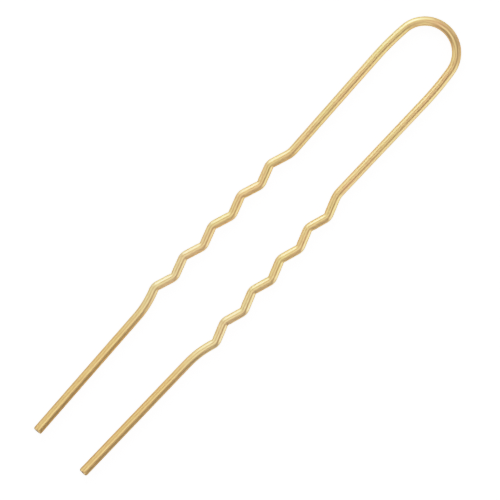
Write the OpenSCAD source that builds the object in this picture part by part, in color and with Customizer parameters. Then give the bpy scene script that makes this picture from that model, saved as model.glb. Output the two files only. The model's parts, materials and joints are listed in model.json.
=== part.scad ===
// Plain U-shaped hairpin bent from one piece of round wire, lying flat.
// The tips point along -Y, the head bend is at +Y, and Z is up.
// The origin is under the middle of the pin, on the surface that it lies on.

/* [Wire] */
// Length of the pin from the tips to the outside of the head bend
pin_l = 75; // [72:0.5:85]
// Diameter of the wire
wire_d = 1.3; // [1:0.05:1.5]
// How much the wire's diameter shrinks where it is bent
bend_thinning = 0.01; // [0.006:0.002:0.02]
// Chamfer that deburring leaves round each cut tip
tip_chamfer = 0.15; // [0.05:0.05:0.3]

/* [Head bend] */
// Radius of the head bend, to the middle of the wire
head_r = 4.1; // [3.5:0.1:5.5]
// Angle that the head bend turns the wire through
head_turn = 168; // [150:1:172]
// Radius of the slow bend at each shoulder, below the head bend
shoulder_r = 40; // [20:1:60]

/* [Upper legs] */
// Length of each straight upper leg
upper_l = 15.9; // [8:0.1:18]
// Angle at which each upper leg closes in towards the crimps
upper_lean = 1; // [0:0.1:2]
// Radius of the bend between upper leg and crimps
entry_r = 3.5; // [2.5:0.1:5]

/* [Crimps] */
// Number of outward crests on each leg
crest_n = 5; // [3:1:6]
// Length of one full wave, from crest to crest
wave_l = 5.45; // [5:0.05:5.8]
// Angle of each flank to the line of the crimps
flank_angle = 19; // [15:0.5:22]
// Radius of each crimp's bend, to the middle of the wire
crimp_r = 1.25; // [1:0.05:1.5]
// Angle at which the line of the crimps spreads towards the tips
crimp_lean = 0.7; // [0:0.1:1.5]
// Straight part of the first flank, below the upper leg
first_flank_l = 2; // [1.5:0.1:3]
// Straight part of the last flank, above the lower leg
last_flank_l = 0.4; // [0.3:0.1:1.5]

/* [Lower legs] */
// Radius of the soft bend between crimps and lower leg
exit_r = 12.5; // [6:0.5:14]
// Angle at which each lower leg closes in towards its tip
lower_lean = 1.3; // [0:0.1:2]

/* [Hidden] */
$fn = 48;

bend_d = wire_d - bend_thinning;
// A bend runs this far into the straight wire at each end of it
bend_lap = 0.04;
// Straight wire between the head bend and a shoulder's slow bend
shoulder_l = 0.4;

head_y = pin_l / 2 - head_r - bend_d / 2;
tip_y = (wire_d / 2 - tip_chamfer) * sin(lower_lean) - pin_l / 2;
flank_l = (wave_l / 2 - 2 * crimp_r * sin(flank_angle)) / cos(flank_angle);

// Each leg is a list of [feed, radius, turn], from the head bend to the lower leg:
// feed straight wire, then bend it. A positive turn swings the leg outwards.
FEED = 0;
RADIUS = 1;
TURN = 2;
shoulder_turn = head_turn / 2 - 90 - upper_lean;
entry_turn = upper_lean + crimp_lean + flank_angle;
exit_turn = flank_angle - crimp_lean - lower_lean;
LEG = concat(
    [[shoulder_l, shoulder_r, shoulder_turn]],
    [[upper_l, entry_r, entry_turn]],
    [[first_flank_l, crimp_r, -2 * flank_angle]],
    [for (i = [2 : 1 : crest_n], side = [1, -1]) [flank_l, crimp_r, side * 2 * flank_angle]],
    [[last_flank_l, exit_r, exit_turn]]
);

// Height of the wire's end after step i on, where heading is the angle off -Y
function y_after(i, y, heading) =
    i == len(LEG) ? y :
    let (
        feed = LEG[i][FEED],
        r = LEG[i][RADIUS],
        next = heading + LEG[i][TURN],
        bend_dy = r * abs(sin(next) - sin(heading))
    )
    y_after(i + 1, y - feed * cos(heading) - bend_dy, next);

// Where each leg leaves the head bend: its angle round the bend, and off -Y
leg_angle = 90 - head_turn / 2;
leg_y = head_y + head_r * sin(leg_angle);
lower_l = (y_after(0, leg_y, leg_angle) - tip_y) / cos(lower_lean);

// Straight round wire, fed along -Y
module straight(length) {
    rotate([90, 0, 0])
        cylinder(d = wire_d, h = length);
}

// Bent wire about the origin, from the angle start through turn degrees
module bend(radius, start, turn) {
    lap = bend_lap / radius * 180 / PI;
    rotate_extrude(angle = turn + 2 * lap, start = start - lap)
        translate([radius, 0])
            circle(d = bend_d);
}

// Lower leg with its deburred tip
module lower_leg() {
    straight(lower_l - tip_chamfer);
    translate([0, tip_chamfer - lower_l, 0])
        rotate([90, 0, 0])
            cylinder(d1 = wire_d, d2 = wire_d - 2 * tip_chamfer, h = tip_chamfer);
}

// What follows step i of a leg: its feed, its bend, and the rest of the leg
module leg_from(i) {
    if (i == len(LEG)) {
        lower_leg();
    } else {
        feed = LEG[i][FEED];
        radius = LEG[i][RADIUS];
        turn = LEG[i][TURN];
        side = sign(turn);
        straight(feed);
        translate([side * radius, -feed, 0]) {
            bend(radius, side > 0 ? 180 : turn, abs(turn));
            rotate([0, 0, turn])
                translate([-side * radius, 0, 0])
                    leg_from(i + 1);
        }
    }
}

module bent_wire() {
    color("burlywood")
        translate([0, head_y, wire_d / 2]) {
            bend(head_r, leg_angle, head_turn);
            for (mirrored = [0, 1])
                mirror([mirrored, 0, 0])
                    rotate([0, 0, leg_angle])
                        translate([head_r, 0, 0])
                            leg_from(0);
        }
}

bent_wire();
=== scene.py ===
import json
import math

import bmesh
import bpy
from mathutils import Matrix, Vector


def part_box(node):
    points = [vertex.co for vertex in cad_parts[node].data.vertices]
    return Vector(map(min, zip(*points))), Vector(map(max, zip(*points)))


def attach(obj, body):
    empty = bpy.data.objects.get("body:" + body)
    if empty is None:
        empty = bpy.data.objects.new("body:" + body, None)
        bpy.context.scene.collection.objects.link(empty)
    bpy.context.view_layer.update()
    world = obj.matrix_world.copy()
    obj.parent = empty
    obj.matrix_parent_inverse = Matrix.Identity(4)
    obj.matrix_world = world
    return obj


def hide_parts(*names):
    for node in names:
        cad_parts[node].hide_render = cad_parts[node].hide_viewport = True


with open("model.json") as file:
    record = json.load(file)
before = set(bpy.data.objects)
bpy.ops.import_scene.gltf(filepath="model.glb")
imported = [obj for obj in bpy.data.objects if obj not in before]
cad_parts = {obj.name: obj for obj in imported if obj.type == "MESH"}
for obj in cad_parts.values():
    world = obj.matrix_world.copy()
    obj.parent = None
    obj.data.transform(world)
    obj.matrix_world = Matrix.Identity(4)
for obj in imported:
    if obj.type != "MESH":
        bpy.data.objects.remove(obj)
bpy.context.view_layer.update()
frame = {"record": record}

# The hairpin is one length of hard steel wire, drawn round, plated pale gold
# and bent cold. Its right half is fed and bent here as in a wire bender, from
# the middle of the head bend down to the tip, and then mirrored.
MM = 0.001
WIRE_R = 0.65 * MM

# A bend's radius is that of the wire's middle. Turns, leans and other angles are in degrees.
HEAD_R, HEAD_TURN = 4.1 * MM, 168
SHOULDER_FEED, SHOULDER_R = 0.4 * MM, 40 * MM
UPPER_FEED, UPPER_LEAN, ENTRY_R = 15.9 * MM, 1, 3.5 * MM
CREST_COUNT, WAVE_L, FLANK_ANGLE = 5, 5.45 * MM, 19
CRIMP_R, CRIMP_LEAN = 1.25 * MM, 0.7
FIRST_FLANK_FEED, LAST_FLANK_FEED = 2 * MM, 0.4 * MM
EXIT_R, LOWER_LEAN = 12.5 * MM, 1.3
TIP_ROUNDING = 0.24 * MM


def turned(x, y, degrees):
    """The direction (x, y) in the flat of the pin, turned to the left."""
    return Matrix.Rotation(math.radians(degrees), 3, "Z") @ Vector((x, y, 0))


crimp_l = 2 * CRIMP_R * math.sin(math.radians(FLANK_ANGLE))
flank_feed = (WAVE_L / 2 - crimp_l) / math.cos(math.radians(FLANK_ANGLE))

# Each step feeds the wire, or bends it: a bend is (radius, turn), which turns left if it is positive.
outward_crest, inward_crest = (CRIMP_R, -2 * FLANK_ANGLE), (CRIMP_R, 2 * FLANK_ANGLE)
steps = [(HEAD_R, -HEAD_TURN / 2)]
steps += [SHOULDER_FEED, (SHOULDER_R, HEAD_TURN / 2 - 90 - UPPER_LEAN)]
steps += [UPPER_FEED, (ENTRY_R, UPPER_LEAN + CRIMP_LEAN + FLANK_ANGLE)]
steps += [FIRST_FLANK_FEED, outward_crest]
steps += [flank_feed, inward_crest, flank_feed, outward_crest] * (CREST_COUNT - 1)
steps += [LAST_FLANK_FEED, (EXIT_R, FLANK_ANGLE - CRIMP_LEAN - LOWER_LEAN), "to the tip"]

# The wire's skin is spun from rings of points. They lie closer together on short
# feeds, because those beside the crimps carry the ends of the dies' marks.
SIDES = 48
RING_TURN = 2.5
RING_FEED = 0.6 * MM
SHORT_FEED, SHORT_RING_FEED = 3 * MM, 0.16 * MM

# The mount on the head bend is in the middle of the wire there, and the tips reach the CAD box's end.
head_mount = next(mount for mount in frame["record"]["mounts"] if mount["name"] == "head_bend")
centre = Vector(head_mount["pos_m"])
centre.z = WIRE_R
tip_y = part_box("bent_wire")[0][1] + (WIRE_R - TIP_ROUNDING) * math.sin(math.radians(LOWER_LEAN))
heading = -90
along = 0.0

bm = bmesh.new()
unbent = bm.verts.layers.float_vector.new("unbent")
pressed = bm.verts.layers.float.new("pressed")
rubbed = bm.verts.layers.float.new("rubbed")
bare = bm.verts.layers.float.new("bare")
circle = bmesh.ops.create_circle(bm, segments=SIDES, radius=WIRE_R)["verts"]
for vert in circle:
    vert[unbent] = vert.co
upright = Matrix.Rotation(math.radians(heading), 4, "Z") @ Matrix.Rotation(math.pi / 2, 4, "X")
bmesh.ops.transform(bm, matrix=Matrix.Translation(centre) @ upright, verts=circle)
ring = list(bm.edges)
rings = [(along, heading)]
crimps = []
for step in steps:
    if isinstance(step, tuple):
        radius, turn = step
        side = math.copysign(1, turn)
        length = radius * math.radians(abs(turn))
        count = math.ceil(max(abs(turn) / RING_TURN, length / RING_FEED))
        pivot = centre + turned(-side, 0, heading) * radius
        fed = Vector((0, 0, 0))
        new_centre = pivot + turned(side, 0, heading + turn) * radius
        if radius == CRIMP_R:
            crimps.append((along + length / 2, side))
    else:
        turn = 0
        length = (centre.y - tip_y) / math.cos(math.radians(LOWER_LEAN)) if step == "to the tip" else step
        count = math.ceil(length / (SHORT_RING_FEED if length < SHORT_FEED else RING_FEED))
        pivot = centre
        fed = turned(0, length / count, heading)
        new_centre = centre + turned(0, length, heading)
    spun = bmesh.ops.spin(bm, geom=ring, cent=pivot, axis=(0, 0, 1), dvec=fed, angle=math.radians(turn),
                          steps=count, use_merge=False, use_duplicate=False)
    ring = [part for part in spun["geom_last"] if isinstance(part, bmesh.types.BMEdge)]
    rings += [(along + length * i / count, heading + turn * i / count) for i in range(1, count + 1)]
    centre = new_centre
    along += length
    heading += turn

# Every point keeps its place on the wire before bending, which the pattern of the finish follows.
bm.verts.ensure_lookup_table()
wire_verts = list(bm.verts)
ring_verts = [wire_verts[i * SIDES:(i + 1) * SIDES] for i in range(len(rings))]
for verts, (ring_along, ring_heading) in zip(ring_verts, rings):
    for vert in verts:
        vert[unbent] = (vert[unbent].x, vert[unbent].y, ring_along)

# The crimping dies press a small flat into the inside of each crimp, and rub its outside.
MARK_DEPTH = 0.04 * MM
MARK_L = 1.0 * MM
RUB_L = 1.6 * MM
for crimp_along, side in crimps:
    for verts, (ring_along, ring_heading) in zip(ring_verts, rings):
        away = abs(ring_along - crimp_along)
        if away > RUB_L / 2:
            continue
        depth = MARK_DEPTH * max(0, 1 - (2 * away / MARK_L) ** 2)
        inwards = turned(-side, 0, ring_heading)
        for vert in verts:
            inside = -side * vert[unbent].x
            vert[rubbed] = (1 - 2 * away / RUB_L) * max(0, -inside / WIRE_R) ** 2
            if depth and inside > WIRE_R - depth:
                vert.co -= inwards * (inside - WIRE_R + depth)
                vert[pressed] = depth / MARK_DEPTH

# The tips are cut square after plating, so their ends are bare steel, and tumbled until the rims are round.
RIM_STEPS = 4
cut = bmesh.ops.contextual_create(bm, geom=ring)["faces"]
rim = bmesh.ops.bevel(bm, geom=list(cut[0].edges), offset=TIP_ROUNDING, offset_type="OFFSET",
                      segments=RIM_STEPS, profile=0.5, affect="EDGES", material=-1)
for vert in rim["verts"]:
    vert[bare] = 1 + (vert.co - centre).dot(turned(0, 1, heading)) / TIP_ROUNDING

# The left half is the right one's mirror image, so it counts its length backwards from the head bend.
# The seam between them is merged. Only the two cut ends have more than four sides, and they stay flat.
MERGE_DIST = 0.001 * MM
half = list(bm.verts) + list(bm.edges) + list(bm.faces)
bmesh.ops.mirror(bm, geom=half, axis="X", merge_dist=MERGE_DIST)
bmesh.ops.recalc_face_normals(bm, faces=bm.faces)
for vert in bm.verts:
    if vert.co.x < 0:
        across, up, back_along = vert[unbent]
        vert[unbent] = (across, up, -back_along)
for face in bm.faces:
    face.smooth = len(face.verts) == 4
pin_mesh = bpy.data.meshes.new("pin")
bm.to_mesh(pin_mesh)
bm.free()
pin = bpy.data.objects.new("pin", pin_mesh)
bpy.context.collection.objects.link(pin)

# Satin pale-gold plating under a clear lacquer. It follows the drawing lines of the steel and is burnished
# where the dies rub the crimps.
# Painted shade darkens the flats that the dies press, in the inner corners of the crimps.
# The colour is paler over the lower crimps, and darker at the lower legs as painted shade where the light
# falls off towards the tips.
PALE_GOLD = (0.85, 0.580, 0.255, 1)
WARM_GOLD = (0.91, 0.543, 0.260, 1)
GREENISH_GOLD = (0.80, 0.618, 0.245, 1)
GROOVE_GOLD = (0.58, 0.39, 0.16, 1)
PALEST_GOLD = (0.86, 0.68, 0.40, 1)
# Painted shade for the lower legs, where the light falls off towards the tips.
LEGS_SHADE_GOLD = (0.86, 0.53, 0.175, 1)
# Painted shade for the inner corners of the crimps, on the dies' flats.
CORNER_SHADE_GOLD = (0.52, 0.34, 0.13, 1)
BARE_STEEL = (0.66, 0.60, 0.48, 1)
LACQUER, LACQUER_ROUGHNESS = 0.8, 0.3
GOLD_SMOOTHEST, GOLD_ROUGHEST = 0.36, 0.44

gold = bpy.data.materials.new("satin_pale_gold")
gold.use_nodes = True
nodes, links = gold.node_tree.nodes, gold.node_tree.links
shader = nodes["Principled BSDF"]
shader.inputs["Metallic"].default_value = 1.0
shader.inputs["Coat Weight"].default_value = LACQUER
shader.inputs["Coat Roughness"].default_value = LACQUER_ROUGHNESS
place = nodes.new("ShaderNodeAttribute")
place.attribute_name = "unbent"


def wire_noise(label, across, lengthways, detail):
    """Noise whose grain is this many metres across the wire, and along it."""
    scale = nodes.new("ShaderNodeMapping")
    scale.inputs["Scale"].default_value = (1 / across, 1 / across, 1 / lengthways)
    noise = nodes.new("ShaderNodeTexNoise")
    noise.label = label
    noise.inputs["Scale"].default_value = 1
    noise.inputs["Detail"].default_value = detail
    links.new(place.outputs["Vector"], scale.inputs["Vector"])
    links.new(scale.outputs["Vector"], noise.inputs["Vector"])
    return noise.outputs["Fac"]


def ranged(value, low, high, to_low, to_high):
    """The value, stretched from one range to another."""
    node = nodes.new("ShaderNodeMapRange")
    node.inputs["From Min"].default_value = low
    node.inputs["From Max"].default_value = high
    node.inputs["To Min"].default_value = to_low
    node.inputs["To Max"].default_value = to_high
    links.new(value, node.inputs["Value"])
    return node.outputs["Result"]


def mixed(share, first, second):
    """A mix of two colours or sockets by a share that varies over the wire."""
    node = nodes.new("ShaderNodeMix")
    node.data_type = "RGBA"
    links.new(share, node.inputs["Factor"])
    for socket, value in ((node.inputs["A"], first), (node.inputs["B"], second)):
        if isinstance(value, tuple):
            socket.default_value = value
        else:
            links.new(value, socket)
    return node.outputs["Result"]


def mask(name):
    """One of the masks kept on the wire's points, from 0 to 1."""
    node = nodes.new("ShaderNodeAttribute")
    node.attribute_name = name
    return node.outputs["Fac"]


def relief(height, strength, depth, under=None):
    """A bump of this depth, in metres, on the relief under it."""
    node = nodes.new("ShaderNodeBump")
    node.inputs["Strength"].default_value = strength
    node.inputs["Distance"].default_value = depth
    links.new(height, node.inputs["Height"])
    if under:
        links.new(under, node.inputs["Normal"])
    return node.outputs["Normal"]


tone = wire_noise("tone", across=1.1 * MM, lengthways=5 * MM, detail=2)
patch = wire_noise("patches", across=0.5 * MM, lengthways=1.8 * MM, detail=2)
die_lines = wire_noise("die lines", across=0.12 * MM, lengthways=14 * MM, detail=3)
fine_lines = wire_noise("fine lines", across=0.035 * MM, lengthways=4 * MM, detail=2)
grooves = wire_noise("grooves", across=0.09 * MM, lengthways=2.2 * MM, detail=3)
satin = wire_noise("satin grain", across=0.03 * MM, lengthways=0.05 * MM, detail=2)

# Noise stays near 0.5, so the middle of its range is spread out: the narrower, the crisper.
CRISP, GENTLE = (0.35, 0.65), (0.3, 0.7)
colour = mixed(ranged(tone, *CRISP, 0, 1), WARM_GOLD, GREENISH_GOLD)
colour = mixed(ranged(patch, *GENTLE, 0, 1), colour, PALE_GOLD)

# The colour changes with the distance along the wire from the middle of the head bend: it is paler over the
# lower crimps, and darker at the lower legs, as painted shade where the light falls off towards the tips.
PALER_FROM, PALER_TO, PALER_SHARE = 40 * MM, 48 * MM, 0.35
LEGS_SHADE_FROM, LEGS_SHADE_TO, LEGS_SHADE_SHARE = 55 * MM, 62 * MM, 0.65
place_parts = nodes.new("ShaderNodeSeparateXYZ")
from_middle = nodes.new("ShaderNodeMath")
from_middle.operation = "ABSOLUTE"
links.new(place.outputs["Vector"], place_parts.inputs["Vector"])
links.new(place_parts.outputs["Z"], from_middle.inputs[0])
# Paler over the lower crimps.
paler = ranged(from_middle.outputs["Value"], PALER_FROM, PALER_TO, 0, PALER_SHARE)
# Painted shade: darker, deeper gold on the lower legs, where the light falls off towards the tips.
legs_shade = ranged(from_middle.outputs["Value"], LEGS_SHADE_FROM, LEGS_SHADE_TO, 0, LEGS_SHADE_SHARE)
colour = mixed(paler, colour, PALEST_GOLD)
# Painted shade on the lower legs.
colour = mixed(legs_shade, colour, LEGS_SHADE_GOLD)

GROOVE_SHARE, RUBBED_SHARE, CORNER_SHADE_SHARE = 0.3, 0.6, 0.55
colour = mixed(ranged(grooves, *CRISP, GROOVE_SHARE, 0), colour, GROOVE_GOLD)
colour = mixed(ranged(mask("rubbed"), 0, 1, 0, RUBBED_SHARE), colour, PALEST_GOLD)
# Painted shade in the inner corners of the crimps, where the dies pressed their flats.
colour = mixed(ranged(mask("pressed"), 0, 1, 0, CORNER_SHADE_SHARE), colour, CORNER_SHADE_GOLD)
colour = mixed(mask("bare"), colour, BARE_STEEL)
links.new(colour, shader.inputs["Base Color"])
links.new(ranged(die_lines, *GENTLE, GOLD_SMOOTHEST, GOLD_ROUGHEST), shader.inputs["Roughness"])

DIE_LINE_SHARE, FINE_LINE_SHARE = 0.7, 0.3
LINE_DEPTH, SATIN_DEPTH = 0.002 * MM, 0.0015 * MM
lines = nodes.new("ShaderNodeMath")
lines.operation = "ADD"
links.new(ranged(die_lines, 0, 1, 0, DIE_LINE_SHARE), lines.inputs[0])
links.new(ranged(fine_lines, 0, 1, 0, FINE_LINE_SHARE), lines.inputs[1])
drawn = relief(lines.outputs["Value"], strength=0.5, depth=LINE_DEPTH)
links.new(relief(satin, strength=0.25, depth=SATIN_DEPTH, under=drawn), shader.inputs["Normal"])
pin_mesh.materials.append(gold)

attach(pin, "root")
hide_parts("bent_wire")

# The surface that the pin lies on: a smooth white sheet, lit from all round, so
# it glows in the metal, and less at the tips, whose edges are darker in the
# photo. The camera sees it overexposed to pure white, as in the photo.
SHEET_W = 1.2
SHEET_WHITE, SHEET_ROUGHNESS = (0.7, 0.7, 0.7, 1), 0.35
SHEET_GLOW, GLOW_AT_TIPS = 0.34, 0.1
DIM_FROM, DIM_TO = -15 * MM, -36 * MM
OVEREXPOSED = 1.4

floor_mesh = bpy.data.meshes.new("floor")
bm = bmesh.new()
bmesh.ops.create_grid(bm, x_segments=1, y_segments=1, size=SHEET_W / 2)
bm.to_mesh(floor_mesh)
bm.free()
floor = bpy.data.objects.new("floor", floor_mesh)
bpy.context.collection.objects.link(floor)
sheet = bpy.data.materials.new("smooth_white_sheet")
sheet.use_nodes = True
nodes, links = sheet.node_tree.nodes, sheet.node_tree.links
sheet_shader = nodes["Principled BSDF"]
sheet_shader.inputs["Base Color"].default_value = SHEET_WHITE
sheet_shader.inputs["Roughness"].default_value = SHEET_ROUGHNESS
sheet_shader.inputs["Emission Color"].default_value = (1, 1, 1, 1)
spot = nodes.new("ShaderNodeTexCoord")
spot_parts = nodes.new("ShaderNodeSeparateXYZ")
rays = nodes.new("ShaderNodeLightPath")
glow = nodes.new("ShaderNodeMix")
glow.inputs["B"].default_value = OVEREXPOSED
links.new(spot.outputs["Object"], spot_parts.inputs["Vector"])
links.new(ranged(spot_parts.outputs["Y"], DIM_TO, DIM_FROM, GLOW_AT_TIPS, SHEET_GLOW), glow.inputs["A"])
links.new(rays.outputs["Is Camera Ray"], glow.inputs["Factor"])
links.new(glow.outputs["Result"], sheet_shader.inputs["Emission Strength"])
floor_mesh.materials.append(sheet)

# Light and camera. The photo looks straight down on the pin, whose head points
# up and to the right. The middle of the pin is a little off the photo's middle.
IMAGE_W = 500
PIXEL_W = 0.1297 * MM
AXIS_ANGLE = 47.57
CENTRE_PIXEL = (254.6, 239.0)
CAMERA_HEIGHT = 0.6
SENSOR_W = 36 * MM
NEAREST_SEEN = 10 * MM

turn_in_view = math.radians(90 - AXIS_ANGLE)
image_right = Vector((math.cos(turn_in_view), math.sin(turn_in_view), 0))
image_up = Vector((-math.sin(turn_in_view), math.cos(turn_in_view), 0))
off_right = (IMAGE_W / 2 - CENTRE_PIXEL[0]) * PIXEL_W
off_up = (CENTRE_PIXEL[1] - IMAGE_W / 2) * PIXEL_W
camera_data = bpy.data.cameras.new("camera")
camera_data.sensor_width = SENSOR_W / MM
camera_data.lens = camera_data.sensor_width * (CAMERA_HEIGHT - WIRE_R) / (IMAGE_W * PIXEL_W)
camera_data.clip_start = NEAREST_SEEN
camera = bpy.data.objects.new("camera", camera_data)
camera.location = image_right * off_right + image_up * off_up + Vector((0, 0, CAMERA_HEIGHT))
camera.rotation_euler = (0, 0, turn_in_view)
bpy.context.collection.objects.link(camera)
bpy.context.scene.camera = camera


def in_image(angle):
    """The level direction at this angle in the image, from the right."""
    return Matrix.Rotation(math.radians(angle), 3, "Z") @ image_right


def softbox(name, target, towards, lean, distance, size, power):
    """A square soft light that faces a target, from a level direction and a lean from upright."""
    away = math.sin(math.radians(lean)) * towards + Vector((0, 0, math.cos(math.radians(lean))))
    data = bpy.data.lights.new(name, "AREA")
    data.shape = "SQUARE"
    data.size = size
    data.energy = power
    lamp = bpy.data.objects.new(name, data)
    lamp.location = target + distance * away
    lamp.rotation_euler = away.to_track_quat("Z", "Y").to_euler()
    lamp.visible_camera = False
    bpy.context.collection.objects.link(lamp)


# Six large softboxes stand low round the pin, and three hang over it. An entry is
# the angle in the image and the power. The key light is near the photo's top.
MIDDLE = Vector((0, 0, 0))
LOW_BOXES = {"right_box": (0, 0.3), "top_right_box": (45, 0.3), "top_box": (90, 0.6), "key_box": (115, 0.9),
             "left_box": (170, 0.5), "bottom_box": (275, 0.5)}
HIGH_BOXES = {"high_top_box": (90, 0.12), "high_bottom_box": (300, 0.06)}
for name, (angle, power) in LOW_BOXES.items():
    softbox(name, MIDDLE, in_image(angle), lean=60, distance=0.5, size=0.3, power=power)
for name, (angle, power) in HIGH_BOXES.items():
    softbox(name, MIDDLE, in_image(angle), lean=35, distance=0.5, size=0.2, power=power)
softbox("over_box", MIDDLE, image_up, lean=0, distance=0.7, size=0.4, power=0.45)

# Four more are close to one end of the pin each, so that they light little of the
# other. Their directions are the pin's own.
END_FROM_MIDDLE = 45 * MM
HEAD_END = Vector((0, END_FROM_MIDDLE, 0))
TIPS_END = Vector((0, -END_FROM_MIDDLE, 0))
RIGHT = Vector((1, 0, 0))
PAST_TIPS = Vector((0, -1, 0))
softbox("right_of_head", HEAD_END, RIGHT, lean=70, distance=0.15, size=0.075, power=0.045)
softbox("over_tips", TIPS_END, RIGHT, lean=0, distance=0.25, size=0.12, power=0.07)
softbox("left_of_tips", TIPS_END, -RIGHT, lean=70, distance=0.25, size=0.12, power=0.015)
softbox("past_tips", TIPS_END, PAST_TIPS, lean=45, distance=0.25, size=0.25, power=0.06)

ROOM_GLOW = 0.04
world = bpy.data.worlds.new("studio")
world.use_nodes = True
world.node_tree.nodes["Background"].inputs["Color"].default_value = (1, 1, 1, 1)
world.node_tree.nodes["Background"].inputs["Strength"].default_value = ROOM_GLOW
bpy.context.scene.world = world

# The photo's highlights roll off softly. This is the camera's shoulder: how bright
# it shows a brightness that is given as a share of WHITE_LEVEL.
WHITE_LEVEL = 2.0
SHOULDER = ((0.15, 0.3), (0.3, 0.6), (0.35, 0.68), (0.425, 0.765), (0.5, 0.83), (0.6, 0.89),
            (0.75, 0.945), (0.9, 0.98))
view = bpy.context.scene.view_settings
view.view_transform = "Standard"
view.use_curve_mapping = True
view.curve_mapping.white_level = (WHITE_LEVEL, WHITE_LEVEL, WHITE_LEVEL)
all_channels = view.curve_mapping.curves[3]
for brightness, shown in SHOULDER:
    all_channels.points.new(brightness, shown)
view.curve_mapping.update()
